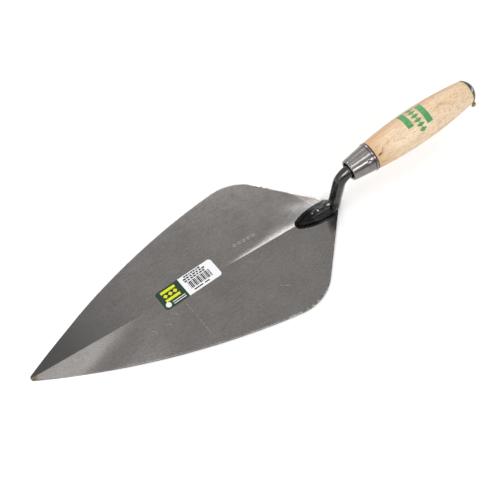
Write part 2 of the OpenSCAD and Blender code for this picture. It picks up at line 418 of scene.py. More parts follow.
def blade_top(x, y):
    """Height of the blade's upper surface, before its edges are rounded."""
    along = x - TIP_X
    across = abs(y)
    inside_facet = TIP_FACET_LENGTH - TIP_FACET_SLANT * across - along
    facet = smooth_step(-TIP_FACET_FADE, TIP_FACET_FADE, inside_facet)
    height = BLADE_THICK
    height -= TIP_FACET_SLOPE * across * facet
    height -= TIP_FALL * max(0.0, TIP_FACET_LENGTH - along)
    grown = smooth_step(RIDGE_START, RIDGE_FULL, along)
    wide = between(RIDGE_NARROW, RIDGE_WIDE, smooth_step(RIDGE_FULL, RIDGE_WIDEST, along))
    ridge = RIDGE_SLOPE * soft_rise(wide - across, wide / 5)
    crest = RIDGE_CREST_SLOPE * soft_rise(RIDGE_CREST_WIDTH - across, RIDGE_CREST_WIDTH / 3)
    height += grown * (ridge + crest)
    height -= CREASE_SLOPE * min(across, CREASE_WIDTH) * smooth_step(CREASE_START, CREASE_FULL, along)
    off_mound = math.hypot(
        (along - MOUND_CENTRE[0]) / MOUND_SIZE[0],
        (y - MOUND_CENTRE[1]) / MOUND_SIZE[1],
    )
    height += MOUND_HEIGHT * math.exp(-off_mound ** 2)
    bevel_heading = HEEL_ANGLE + HEEL_BEVEL_SPREAD
    bevel_start_x = HEEL_X - HEEL_BEVEL_HALF_WIDTH / math.tan(HEEL_ANGLE)
    into_bevel = (x - bevel_start_x) * math.sin(bevel_heading)
    into_bevel += (across - HEEL_BEVEL_HALF_WIDTH) * math.cos(bevel_heading)
    height -= HEEL_BEVEL_SLOPE * max(0.0, into_bevel)
    return height


def edge_drop(distance):
    """How far a rounded edge falls at that distance inside the outline."""
    short = max(0.0, EDGE_ROUNDING - distance)
    return EDGE_ROUNDING - math.sqrt(max(0.0, EDGE_ROUNDING ** 2 - short ** 2))


def blade_rows():
    """Shares of the half width at which the mesh has points: closest at the crease and at the edge."""
    near_crease = [0.0, 0.006, 0.02]
    near_edge = [0.965, 0.977, 0.986, 0.993, 0.9975, 1.0]
    middle_end = 0.95
    middle = [between(near_crease[-1], middle_end, share) for share in shares(26, 1)]
    return near_crease + middle + near_edge


def build_blade(material):
    mesh = bmesh.new()
    edge = mesh.verts.layers.float.new(EDGE_ATTRIBUTE)
    upper = mesh.verts.layers.float.new(UPPER_ATTRIBUTE)
    half_rows = blade_rows()
    across = [-share for share in reversed(half_rows[1:])] + half_rows
    top, bottom = [], []
    for index, (x, half) in enumerate(BLADE_SIDE):
        before, after = neighbours(BLADE_SIDE, index)
        run, rise = after[0] - before[0], after[1] - before[1]
        steep = math.hypot(run, rise) / abs(run)
        if half == 0:
            rim = blade_top(x, 0) / 2
            point = mesh.verts.new((x, 0, rim))
            point[upper] = 1.0
            top.append([point])
            bottom.append([point])
            continue
        top_row, bottom_row = [], []
        for share in across:
            y = share * half
            inside = min((half - abs(y)) / steep, HEEL_CUT_X - x + HEEL_CUT_INSET)
            thick = blade_top(x, y)
            drop = edge_drop(inside) * min(1.0, thick / (FULLY_ROUNDED_AT * EDGE_ROUNDING))
            top_row.append(mesh.verts.new((x, y, thick - drop)))
            bottom_row.append(mesh.verts.new((x, y, drop * UNDER_ROUNDING)))
            top_row[-1][edge] = bottom_row[-1][edge] = inside / MM
            top_row[-1][upper] = 1.0
        top.append(top_row)
        bottom.append(bottom_row)
    last = len(across) - 1
    for first, second, under, next_under in zip(top, top[1:], bottom, bottom[1:]):
        if len(first) == 1:
            for column in range(last):
                mesh.faces.new((first[0], second[column], second[column + 1]))
                mesh.faces.new((first[0], next_under[column + 1], next_under[column]))
            for column in (0, last):
                mesh.faces.new((first[0], second[column], next_under[column]))
            continue
        for column in range(last):
            mesh.faces.new((first[column], second[column], second[column + 1], first[column + 1]))
            mesh.faces.new((under[column], under[column + 1], next_under[column + 1], next_under[column]))
        for column in (0, last):
            mesh.faces.new((first[column], under[column], next_under[column], second[column]))
    for column in range(last):
        mesh.faces.new((top[-1][column], top[-1][column + 1], bottom[-1][column + 1], bottom[-1][column]))
    return finish_piece(mesh, "blade_body", ["blade"], [material], 30)


def scratch_mask(steel, start, end, width):
    """A thin line between two points of the blade, uneven along its length, and 0 off it."""
    run, rise = end[0] - start[0], end[1] - start[1]
    length = math.hypot(run, rise)
    line = steel.mapped((TIP_X + start[0], start[1], 0), (0, 0, math.atan2(rise, run)))
    x, y = steel.split(line, "XY")
    bend = steel.maths("MULTIPLY_ADD", steel.noise(line, 60, 2), SCRATCH_WANDER, -SCRATCH_WANDER / 2)
    beside = steel.maths("ABSOLUTE", steel.maths("ADD", y, bend))
    on_line = steel.fade(beside, width, 0.3 * width, 0.0, SCRATCH_STRENGTH)
    after_start = steel.fade(x, 0.0, 0.1 * length)
    before_end = steel.fade(x, length, 0.8 * length)
    uneven = steel.fade(steel.noise(line, 400, 2), 0.35, 0.6)
    return steel.times(on_line, after_start, before_end, uneven)


def stamp_mask(steel):
    """A faint row of plain lozenge outlines, where the steel is stamped."""
    row_length = STAMP_PITCH * STAMP_COUNT
    row = steel.mapped((TIP_X + STAMP_CENTRE[0] - row_length / 2, STAMP_CENTRE[1], 0))
    x, y = steel.split(row, "XY")
    step = steel.maths("FRACT", steel.maths("DIVIDE", x, STAMP_PITCH))
    off_middle = steel.maths("ABSOLUTE", steel.maths("SUBTRACT", step, 0.5))
    across = steel.maths("DIVIDE", steel.maths("ABSOLUTE", y), STAMP_HALF_WIDTH)
    reach = steel.maths("MULTIPLY_ADD", off_middle, STAMP_PITCH / STAMP_HALF_LENGTH, across)
    off_line = steel.maths("ABSOLUTE", steel.maths("SUBTRACT", reach, STAMP_LINE_AT))
    outline = steel.fade(off_line, 0.30, 0.12, 0.0, STAMP_STRENGTH)
    after_start = steel.maths("GREATER_THAN", x, 0.0)
    before_end = steel.maths("LESS_THAN", x, row_length)
    return steel.times(outline, after_start, before_end)


def blade_material():
    steel = Shader("ground_steel", Metallic=1.0)
    along_blade = steel.mapped((TIP_X, 0, 0))
    x, y = steel.split(along_blade, "XY")
    on_top = steel.fade(steel.attribute(UPPER_ATTRIBUTE), 0.4, 0.6)
    rim = steel.fade(steel.attribute(EDGE_ATTRIBUTE), 1.8, 0.5)
    brushed = steel.noise(steel.mapped(turn=GRIND_TURN, scale=(110, 1500, 110)), 1.0, 4, 0.6)
    crossed = steel.noise(steel.mapped(turn=CROSS_TURN, scale=(90, 900, 90)), 1.0, 3, 0.6)
    cloud = steel.noise(along_blade, 30, 5, 0.6)
    fine = steel.noise(along_blade, 1100, 2, 0.6)
    grit = steel.noise(along_blade, 1500, 2, 0.7)
    worn = steel.noise(along_blade, 330, 3, 0.6)
    tone = steel.maths("MULTIPLY_ADD", brushed, 0.35, steel.times(cloud, 0.35))
    tone = steel.maths("MULTIPLY_ADD", fine, 0.3, tone)
    steel.blend(steel.fade(tone, 0.36, 0.64), (112, 109, 107), (132, 128, 126))
    steel.tint(steel.fade(grit, 0.42, 0.72, 0.0, 0.35), 160, 156, 154)
    steel.tint(steel.fade(grit, 0.52, 0.28, 0.0, 0.35), 84, 82, 81)
    # Painted shade: the left half of the tip is darker, most of all at the very tip.
    left_half = steel.fade(y, -0.15 * MM, 0.15 * MM)
    near_tip = steel.fade(x, 5 * MM, 112 * MM, 1.0, 0.0)
    steel.tint(steel.times(on_top, left_half, near_tip), 86, 85, 84)
    # The rim of the right shoulder is nicked bright, and the rest of the right rim only a little.
    right_side = steel.fade(y, 0.0, -10 * MM)
    on_shoulder = steel.fade(x, 165 * MM, 200 * MM, 0.12, 0.8)
    nicked = steel.fade(worn, 0.54, 0.62)
    steel.tint(steel.times(rim, on_shoulder, nicked, right_side), 196, 190, 182)
    # The edge of the heel's left side is bright and a little ragged.
    left_side = steel.fade(y, 9 * MM, 13 * MM)
    on_heel = steel.fade(x, 226 * MM, 232 * MM)
    ragged = steel.fade(worn, 0.36, 0.56)
    steel.tint(steel.times(rim, left_side, on_heel, ragged), 226, 222, 214)
    # Rust at the very tip, then dark pits, the scratches and the stamp
    at_tip = steel.fade(x, 7 * MM, 1 * MM)
    steel.tint(steel.times(at_tip, steel.fade(worn, 0.48, 0.6)), 92, 70, 46)
    steel.tint(steel.fade(steel.specks(along_blade, 42), 0.028, 0.012), 34, 32, 31)
    for start, end, width in SCRATCHES:
        steel.tint(steel.times(on_top, scratch_mask(steel, start, end, width)), 182, 180, 178)
    steel.tint(steel.times(on_top, stamp_mask(steel)), 206, 203, 200)
    relief = steel.bump(brushed, 0.004 * MM)
    relief = steel.bump(crossed, 0.003 * MM, relief)
    relief = steel.bump(fine, 0.002 * MM, relief)
    return steel.finished(steel.maths("MULTIPLY_ADD", brushed, 0.08, 0.135), relief)


# ------------ tang

NECK_RADIUS = 5.25 * MM
NECK_RIDGES = 6
NECK_RIDGE_HEIGHT = 0.16 * MM
BEND_RADIUS = 12 * MM
NECK_ANGLE = math.radians(82.5)
NECK_ROOT_HEIGHT = 0.6 * MM        # of the neck's lower end above the blade
BEND_END_AT = 0.3 * MM             # distances along the handle's axis are measured from its start
WOOD_FRONT_AT = 4 * MM
NECK_END_AT = WOOD_FRONT_AT + 0.5 * MM
PRONG_RADIUS = 3.2 * MM
PRONG_END_AT = 100 * MM
GUSSET_LEAD = (1.6 * MM, 0.8 * MM)  # how far ahead of the neck the gusset is, at its foot and its top
GUSSET_RADII = (NECK_RADIUS + 0.4 * MM, NECK_RADIUS - 1.4 * MM)
GUSSET_TOP = 3                     # it ends at this point of the neck's centre line
SPINE_LEAD = 6 * MM                # from the foot's front to the spine's
SPINE_HEIGHT = 0.6 * MM
SPINE_LENGTH = 24 * MM
SPINE_CLIMB = 2.2 * MM
SPINE_FRONT_RADIUS = 1.6 * MM
SPINE_REAR_RADIUS = 5.3 * MM
SPINE_SWELL = 0.5 * MM
FOOT_LENGTH = 36.8 * MM
FOOT_HALF_WIDTH = 7.2 * MM
FOOT_THICK = 2.6 * MM
FOOT_NOSE_RADIUS = 2.6 * MM
FOOT_NOSE_ANGLE = math.radians(25)
FOOT_REAR_RADIUS = 6 * MM
SEAT_DEPTH = 0.9 * MM
FORGE_VOXEL = 0.42 * MM
DISH_DEPTH = 0.9 * MM
DISH_RIM = (0.7 * MM, 2.2 * MM)    # the hollow starts and is full this far inside the outline
DISH_REAR = (8 * MM, 20 * MM)      # it is full, and ends, this far behind the foot's front
# Lumps that the forging leaves in front of the neck, as (x, y, z, radius)
FORGE_LUMPS = (
    (119 * MM, 1.0 * MM, 5.6 * MM, 1.8 * MM),
    (124 * MM, -2.2 * MM, 5.2 * MM, 2.0 * MM),
    (128 * MM, 0.6 * MM, 8.0 * MM, 2.8 * MM),
    (131 * MM, -4.2 * MM, 5.0 * MM, 2.2 * MM),
)
# Painted glints: bright spots on the lumps and on the neck's bend, where highlights fall, as (place, turn
# about Y, half sizes)
PAINTED_GLINT_SPOTS = (
    ((118.1 * MM, 0.2 * MM, 7.7 * MM), 0.0, (0.7 * MM, 1.5 * MM, 0.9 * MM)),
    ((113.6 * MM, 1.3 * MM, 5.5 * MM), 0.0, (0.9 * MM, 0.7 * MM, 0.7 * MM)),
    ((127.6 * MM, -1.2 * MM, 9.9 * MM), 0.0, (1.9 * MM, 1.0 * MM, 1.1 * MM)),
    ((141.8 * MM, -2.0 * MM, 41.9 * MM), math.radians(-30), (4.8 * MM, 0.8 * MM, 1.0 * MM)),
)


def foot_outline(margin):
    """The leaf-shaped outline of the foot, grown outwards by a margin, as points that start at its nose."""
    nose_share = math.cos(FOOT_NOSE_ANGLE)
    side_radius = (FOOT_HALF_WIDTH - FOOT_NOSE_RADIUS * nose_share) / (1 - nose_share)
    front = (FOOT_FRONT_X - margin, 0.0)
    nose = arc_points(front, FOOT_NOSE_RADIUS + margin, math.pi / 2, FOOT_NOSE_ANGLE, 10)
    side = arc_points(nose[-1], side_radius + margin, FOOT_NOSE_ANGLE, 0, 14)
    corner = (FOOT_FRONT_X + FOOT_LENGTH - FOOT_REAR_RADIUS, FOOT_HALF_WIDTH + margin)
    flat = [(between(side[-1][0], corner[0], share), corner[1]) for share in shares(8, 1)]
    rear = arc_points(corner, FOOT_REAR_RADIUS + margin, 0, -math.pi / 2, 12)
    left = [front] + nose + side + flat + rear
    return left + [(x, -y) for x, y in reversed(left) if y > ON_AXIS]


def add_prism(target, outline, low, high):
    """A closed prism over an outline that is given as (x, y) points."""
    under = [target.verts.new((x, y, low)) for x, y in outline]
    over = [target.verts.new((x, y, high)) for x, y in outline]
    target.faces.new(list(reversed(under)))
    target.faces.new(over)
    for index in range(len(outline)):
        after = (index + 1) % len(outline)
        target.faces.new((under[index], under[after], over[after], over[index]))


def add_tube(target, points, radii, ridges=0.0, steps=36):
    """A closed tube through points in the middle plane, with a radius at each and soft ridges along it."""
    rings = []
    for index, (point, radius) in enumerate(zip(points, radii)):
        before, after = neighbours(points, index)
        along = (after - before).normalized()
        side = Vector((0, 1, 0))
        up = along.cross(side)
        ring = []
        for around in turns(steps):
            grown = radius + ridges * math.cos(NECK_RIDGES * around)
            ring.append(target.verts.new(point + grown * (math.cos(around) * side + math.sin(around) * up)))
        rings.append(ring)
    join_tube(target, rings)


def neck_path():
    """Points of the neck's centre line from the foot to the handle, and the handle's direction."""
    along = Vector((math.cos(HANDLE_ANGLE), 0, math.sin(HANDLE_ANGLE)))
    bend_end = HANDLE_START + along * BEND_END_AT
    centre = bend_end + BEND_RADIUS * Vector((math.sin(HANDLE_ANGLE), 0, -math.cos(HANDLE_ANGLE)))
    bend = []
    for share in shares(16):
        angle = between(NECK_ANGLE, HANDLE_ANGLE, share)
        bend.append(centre + BEND_RADIUS * Vector((-math.sin(angle), 0, math.cos(angle))))
    rising = Vector((math.cos(NECK_ANGLE), 0, math.sin(NECK_ANGLE)))
    rise = (bend[0].z - BLADE_THICK - NECK_ROOT_HEIGHT) / rising.z
    riser = [bend[0] - rising * rise * (1 - share) for share in shares(8)[:-1]]
    return riser + bend, along


def dish_depth(leaf, point):
    """How far the front of the foot is hollowed inside its raised rim."""
    half = max((y for x, y in leaf if x <= point.x), default=0.0)
    inside = min(half - abs(point.y), point.x - FOOT_FRONT_X)
    ahead = smooth_step(DISH_REAR[1], DISH_REAR[0], point.x - FOOT_FRONT_X)
    on_top = smooth_step(BLADE_THICK + 0.8 * FOOT_THICK, BLADE_THICK + FOOT_THICK, point.z)
    return DISH_DEPTH * smooth_step(*DISH_RIM, inside) * ahead * on_top


def fuse(mesh):
    """Melts overlapping closed shapes into one skin with softened joints."""
    bmesh.ops.recalc_face_normals(mesh, faces=mesh.faces)
    rough_mesh = bpy.data.meshes.new("tang_rough")
    mesh.to_mesh(rough_mesh)
    mesh.free()
    rough = new_object("tang_rough", rough_mesh)
    remesh = rough.modifiers.new("fuse", "REMESH")
    remesh.mode = "VOXEL"
    remesh.voxel_size = FORGE_VOXEL
    smooth = rough.modifiers.new("soften", "SMOOTH")
    smooth.factor = 0.5
    smooth.iterations = 4
    bpy.context.view_layer.update()
    fused = rough.evaluated_get(bpy.context.evaluated_depsgraph_get())
    forged = bmesh.new()
    forged.from_mesh(fused.to_mesh())
    fused.to_mesh_clear()
    bpy.data.objects.remove(rough)
    bpy.data.meshes.remove(rough_mesh)
    forged.normal_update()
    return forged


def add_spine(target):
    """The spine climbs from the leaf's nose to the root of the neck, and swells twice on its way."""
    front = Vector((FOOT_FRONT_X + SPINE_LEAD, 0, BLADE_THICK + SPINE_HEIGHT))
    points, radii = [], []
    for share in shares(12):
        points.append(front + Vector((SPINE_LENGTH * share, 0, SPINE_CLIMB * share)))
        swell = SPINE_SWELL * math.sin(share * math.pi * 4) * share
        radii.append(between(SPINE_FRONT_RADIUS, SPINE_REAR_RADIUS, share) + swell)
    add_tube(target, points, radii)


def build_tang(material):
    mesh = bmesh.new()
    add_prism(mesh, foot_outline(0), BLADE_THICK - SEAT_DEPTH, BLADE_THICK + FOOT_THICK)
    neck, along = neck_path()
    neck_end = HANDLE_START + along * NECK_END_AT
    add_tube(mesh, neck + [neck_end], [NECK_RADIUS] * (len(neck) + 1), NECK_RIDGE_HEIGHT)
    prong = [HANDLE_START + along * WOOD_FRONT_AT, HANDLE_START + along * PRONG_END_AT]
    add_tube(mesh, prong, [PRONG_RADIUS] * 2)
    add_spine(mesh)
    for lump_x, lump_y, lump_z, lump_radius in FORGE_LUMPS:
        place = Matrix.Translation((lump_x, lump_y, lump_z))
        bmesh.ops.create_icosphere(mesh, subdivisions=3, radius=lump_radius, matrix=place)
    gusset = [point - Vector((lead, 0, 0)) for point, lead in zip((neck[0], neck[GUSSET_TOP]), GUSSET_LEAD)]
    add_tube(mesh, gusset, GUSSET_RADII)
    forged = fuse(mesh)
    leaf = [(x, y) for x, y in foot_outline(0) if y > 0]
    # Hammer marks all over, deepest low down
    for vertex in forged.verts:
        low_down = smooth_step(BLADE_THICK + 12 * MM, BLADE_THICK + 3 * MM, vertex.co.z)
        dent = 0.05 * MM * speckle(vertex.co, 4 * MM) + 0.16 * MM * low_down * speckle(vertex.co, 3 * MM, 7)
        vertex.co += vertex.normal * dent
        vertex.co.z -= dish_depth(leaf, vertex.co)
        vertex.co.z = max(vertex.co.z, TANG_LOW.z)
    return finish_piece(forged, "tang_forging", ["tang"], [material], 60)


def lacquer_material(name="black_lacquer"):
    """Black lacquer, thick on the foot and rubbed thin on the neck, where the steel shows through."""
    lacquer = Shader(name, Metallic=0.0, Specular_IOR_Level=0.1, Coat_Roughness=0.04)
    x, z = lacquer.split(lacquer.mapped(), "XZ")
    patch = lacquer.noise(lacquer.mapped(), 180, 4, 0.6)
    thick = lacquer.mix(lacquer.fade(patch, 0.4, 0.75), colour(6, 6, 6), colour(16, 16, 15))
    thin = lacquer.mix(lacquer.fade(patch, 0.35, 0.7), colour(15, 15, 14), colour(42, 40, 36))
    height = lacquer.maths("MULTIPLY_ADD", patch, 6 * MM, z)
    lacquer.base = lacquer.mix(lacquer.fade(height, 9 * MM, 15 * MM), thick, thin)
    # Painted glints on the lumps and the neck's bend
    for place, turn, half_sizes in PAINTED_GLINT_SPOTS:
        spot = lacquer.mapped(place, (0, turn, 0), [1 / half for half in half_sizes])
        away = lacquer.maths("MULTIPLY_ADD", patch, 0.8, lacquer.length(spot))
        lacquer.tint(lacquer.fade(away, 1.4, 0.9, 0.0, 0.8), 196, 196, 192)
    # The hollow at the front is matt, the lumps behind it have some gloss, and the neck has most.
    behind_hollow = lacquer.fade(x, FOOT_FRONT_X + 13 * MM, FOOT_FRONT_X + 19 * MM)
    on_neck = lacquer.fade(z, 7 * MM, 13 * MM, 0.5, 1.0)
    lacquer.drive("Coat Weight", lacquer.times(behind_hollow, on_neck))
    runs = lacquer.noise(lacquer.mapped(), 350, 2, 0.5)
    return lacquer.finished(lacquer.fade(patch, 0.3, 0.75, 0.18, 0.34), lacquer.bump(runs, 0.02 * MM))


# ------------ weld bead

WELD_WIDTH = 2.2 * MM
WELD_HEIGHT = 1.1 * MM
WELD_HALF_WIDTH = 0.55 * WELD_WIDTH
WELD_HALF_HEIGHT = 0.75 * WELD_HEIGHT
WELD_STEP = 0.5 * MM
WELD_RIPPLE = 0.55 * MM
WELD_END_X = HEEL_X - 10 * MM


def weld_path():
    """Points close together along the weld, from one end round the foot's nose to the other."""
    line = [(x, y) for x, y in foot_outline(WELD_WIDTH * 0.4) if x <= WELD_END_X]
    right = [point for point in line if point[1] < 0]
    left = [point for point in line if point[1] >= 0]
    corners = [Vector((x, y, 0)) for x, y in right + left]
    path = []
    for first, second in zip(corners, corners[1:]):
        pieces = max(1, round((second - first).length / WELD_STEP))
        path += [first.lerp(second, share) for share in shares(pieces)[:-1]]
    return path + [corners[-1]]


def build_weld(material):
    """A rippled bead that follows the foot's outline where the foot lies on the blade."""
    mesh = bmesh.new()
    path = weld_path()
    rings = []
    travelled = 0.0
    for index, point in enumerate(path):
        before, after = neighbours(path, index)
        travelled += (point - before).length
        along = (after - before).normalized()
        side = along.cross(Vector((0, 0, 1)))
        ripple = 1 + 0.05 * math.sin(travelled / WELD_RIPPLE) + 0.12 * speckle(point, 2.5 * MM, 3)
        seat = blade_top(point.x, point.y)
        ring = []
        for around in turns(14):
            out = WELD_HALF_WIDTH * ripple * math.cos(around)
            up = WELD_HALF_HEIGHT * ripple * math.sin(around)
            ring.append(mesh.verts.new(point + side * out + Vector((0, 0, seat + up))))
        rings.append(ring)
    join_tube(mesh, rings)
    return finish_piece(mesh, "weld_seam", ["weld_bead"], [material], 60)


# ------------ ferrule

GROOVE_AT = FERRULE_LENGTH - 2.6 * MM
GROOVE_DEPTH = 0.3 * MM
DIMPLE_AT = 14.2 * MM
DIMPLE_AROUND = math.radians(-136)
DIMPLE_RADIUS = 1.7 * MM
DIMPLE_DEPTH = 0.3 * MM
DIMPLE_RIM_HEIGHT = 0.03 * MM
DIMPLE_RIM_WIDTH = 0.5 * MM


def cone_radius(at):
    return between(FERRULE_FRONT_RADIUS, FERRULE_BACK_RADIUS, at / FERRULE_LENGTH)


def ferrule_shift(radius, at, around):
    """The punched dimple in the outer face, with its faintly raised rim."""
    if radius < cone_radius(max(0.0, at)) - 0.5 * FERRULE_WALL:
        return 0.0
    turn = (around - DIMPLE_AROUND + math.pi) % (2 * math.pi) - math.pi
    away = math.hypot(at - DIMPLE_AT, turn * radius)
    dimple = DIMPLE_DEPTH * (1 - smooth_step(0.25 * DIMPLE_RADIUS, DIMPLE_RADIUS, away))
    off_rim = (away - 1.15 * DIMPLE_RADIUS) / DIMPLE_RIM_WIDTH
    return DIMPLE_RIM_HEIGHT * math.exp(-off_rim ** 2) - dimple


def build_ferrule(material):
    lip = arc_profile(FERRULE_FRONT_RADIUS - LIP_RADIUS, 0, LIP_RADIUS, 20, -190, 12)
    cone_places = [between(LIP_RADIUS, GROOVE_AT, share) for share in shares(44)]
    cone = [(cone_radius(at), at) for at in cone_places]
    groove_floor = (GROOVE_AT + 0.15 * MM, GROOVE_AT + 0.4 * MM)
    groove = [(cone_radius(at) - GROOVE_DEPTH, at) for at in groove_floor]
    groove.append((BEAD_RING + 0.8 * BEAD_RADIUS, GROOVE_AT + 0.75 * MM))
    bead = arc_profile(BEAD_RING, BEAD_AT, BEAD_RADIUS, 0, 90, 8)
    inner = [
        (cone_radius(FERRULE_LENGTH) - FERRULE_WALL, FERRULE_LENGTH),
        (cone_radius(WOOD_FRONT_AT) - FERRULE_WALL, WOOD_FRONT_AT),
        (cone_radius(LIP_RADIUS) - FERRULE_WALL, LIP_RADIUS * 1.3),
    ]
    mesh = bmesh.new()
    add_lathe(mesh, list(reversed(lip)) + cone + groove + bead + inner, 160, ON_HANDLE, ferrule_shift)
    return finish_piece(mesh, "ferrule_shell", ["ferrule"], [material], 35)


def ferrule_material():
    plate = Shader("plated_steel", Metallic=1.0)
    brushed = plate.noise(plate.on_handle((900, 900, 60)), 1.0, 4, 0.6)
    cloud = plate.noise(plate.mapped(), 110, 3, 0.5)
    mottle = plate.fade(cloud, 0.3, 0.7)
    plate.blend(mottle, (120, 117, 116), (136, 133, 131))
    # A yellowish tint low on the right side: tarnish, and a painted reflection of the pale floor that
    # brightens it
    x, y = plate.split(plate.on_handle(), "XY")
    low_right_tarnish_and_sheen = plate.times(plate.fade(x, 0.5 * MM, 3.5 * MM), plate.fade(y, -3 * MM, -6 * MM))
    tarnish = plate.mix(mottle, colour(176, 170, 146), colour(150, 146, 128))
    plate.base = plate.mix(low_right_tarnish_and_sheen, plate.base, tarnish)
    relief = plate.bump(cloud, 0.02 * MM, plate.bump(brushed, 0.002 * MM))
    return plate.finished(plate.maths("MULTIPLY_ADD", brushed, 0.12, 0.15), relief)


# ------------ grip

GRIP_RADIUS = 14.6 * MM
BELLY_AT = 63 * MM
GRIP_CURVE = 325 * MM
DOME_RADIUS = 11.4 * MM
CAP_WALL = 0.7 * MM
HANDLE_LENGTH = 121.9 * MM
DOME_AT = HANDLE_LENGTH - CAP_WALL - DOME_RADIUS
DOME_STARTS_AT = DOME_AT + 3.5 * MM
CAP_RIM_AT = HANDLE_LENGTH - 6.2 * MM
WOOD_STARTS_AT = FERRULE_LENGTH + 0.4 * MM
TURNING_DEPTH = 0.05 * MM          # of the unevenness that hand turning leaves
KNOT_RADIUS = 12.4 * MM            # distance of the knot from the handle's axis
# Ovals of the knot and of its tail, as (at, around, slant, half width, half length, strength)
KNOT_PARTS = (
    (24.0 * MM, math.radians(-137), math.radians(15), 0.8 * MM, 2.5 * MM, 1.0),
    (28.0 * MM, math.radians(-149), math.radians(42), 0.5 * MM, 2.4 * MM, 0.5),
)


def grip_radius(at):
    return GRIP_RADIUS - (at - BELLY_AT) ** 2 / (2 * GRIP_CURVE)


def turned_by_hand(radius, at, around):
    """The grip's unevenness, left out beside the ferrule and under the cap."""
    if at < WOOD_STARTS_AT - 0.1 * MM or at > CAP_RIM_AT - 2 * MM:
        return 0.0
    point = (radius * math.cos(around), radius * math.sin(around), at * 0.25)
    return TURNING_DEPTH * (speckle(point, 5 * MM, 11) - 1)


def build_grip(material):
    profile = [
        (0.0, WOOD_FRONT_AT),
        (cone_radius(WOOD_FRONT_AT) - FERRULE_WALL, WOOD_FRONT_AT),
        (cone_radius(FERRULE_LENGTH) - FERRULE_WALL, FERRULE_LENGTH - 0.2 * MM),
        (grip_radius(FERRULE_LENGTH) - 0.35 * MM, FERRULE_LENGTH + 0.05 * MM),
    ]
    for share in shares(90):
        at = between(WOOD_STARTS_AT, DOME_STARTS_AT, share)
        profile.append((grip_radius(at), at))
    widest = math.degrees(math.asin((DOME_STARTS_AT - DOME_AT) / DOME_RADIUS))
    dome = arc_profile(0, DOME_AT, DOME_RADIUS, widest, 90, 14)
    profile += dome[1:-1] + [(0.0, DOME_AT + DOME_RADIUS)]
    mesh = bmesh.new()
    add_lathe(mesh, profile, 144, ON_HANDLE, turned_by_hand)
    return finish_piece(mesh, "grip_body", ["handle"], [material], 50)


def wood_material():
    wood = Shader("beech_wood", Specular_IOR_Level=0.35)
    along = wood.on_handle()
    y, z = wood.split(along, "YZ")
    grain = wood.noise(wood.on_handle((700, 700, 45)), 1.0, 6, 0.75)
    pores = wood.noise(wood.on_handle((2300, 2300, 420)), 1.0, 2, 0.5)
    rings = wood.noise(wood.on_handle((110, 60, 10)), 1.0, 3, 0.5, 0.6)
    fleck = wood.noise(wood.on_handle((1000, 1000, 270)), 1.0, 3, 0.7)
    blotch = wood.noise(along, 85, 4, 0.6)
    wood.blend(wood.fade(rings, 0.3, 0.7), (230, 207, 178), (216, 188, 153))
    # Painted light and shade: the right side is paler and the left side darker. The wood is also darker
    # towards the ferrule.
    wood.tint(wood.fade(y, -3 * MM, -12 * MM, 0.0, 0.3), 244, 222, 192)
    wood.tint(wood.fade(y, -1 * MM, 12 * MM, 0.0, 0.85), 184, 147, 113)
    wood.tint(wood.fade(z, FERRULE_LENGTH + 22 * MM, FERRULE_LENGTH, 0.0, 0.6), 196, 156, 112)
    wood.tint(wood.fade(grain, 0.50, 0.70, 0.0, 0.9), 192, 154, 112)
    wood.tint(wood.fade(pores, 0.54, 0.74, 0.0, 0.6), 172, 132, 94)
    wood.tint(wood.fade(blotch, 0.56, 0.76, 0.0, 0.45), 186, 142, 100)
    wood.tint(wood.fade(fleck, 0.50, 0.68, 0.0, 0.6), 178, 140, 102)
    # Painted shadow: a thin dark line on the wood at the ferrule's back edge, where the gap between them is
    # in shade
    wood.tint(wood.fade(z, WOOD_STARTS_AT + 0.5 * MM, WOOD_STARTS_AT), 96, 50, 36)
    # A knot: a dark oval with a paler brown ring, and a thin tail that curls away from it
    for at, around, slant, half_width, half_length, stain in KNOT_PARTS:
        about_axis = ON_HANDLE @ Matrix.Rotation(around, 4, "Z")
        turn = (about_axis @ Matrix.Rotation(slant, 4, "X")).to_euler()
        place = about_axis @ Vector((KNOT_RADIUS, 0, at))
        oval = wood.mapped(place, turn, (1 / half_width, 1 / half_width, 1 / half_length))
        away = wood.maths("MULTIPLY_ADD", blotch, 0.9, wood.length(oval))
        wood.tint(wood.fade(away, 2.4, 1.3, 0.0, 0.6 * stain), 178, 126, 84)
        wood.tint(wood.fade(away, 1.45, 1.15, 0.0, stain), 92, 46, 38)
    relief = wood.bump(pores, 0.02 * MM, wood.bump(grain, 0.04 * MM))
    return wood.finished(wood.fade(grain, 0.3, 0.8, 0.46, 0.66), relief)


# ------------ printed mark on the grip

PRINT_AT = 64 * MM
PRINT_AROUND = math.radians(-180)
PRINT_LIFT = 0.05 * MM
# Bars as (distance from the print's middle, offset round the grip, half width, half arc)
PRINT_BARS = (
    (-7.9 * MM, -2.0 * MM, 2.6 * MM, 8.5 * MM),
    (7.9 * MM, 1.5 * MM, 2.6 * MM, 9.5 * MM),
)
PRINT_LOZENGES = range(-2, 4)
PRINT_PITCH = 4.2 * MM
PRINT_LOZENGE_SIZE = (3.6 * MM, 1.9 * MM)


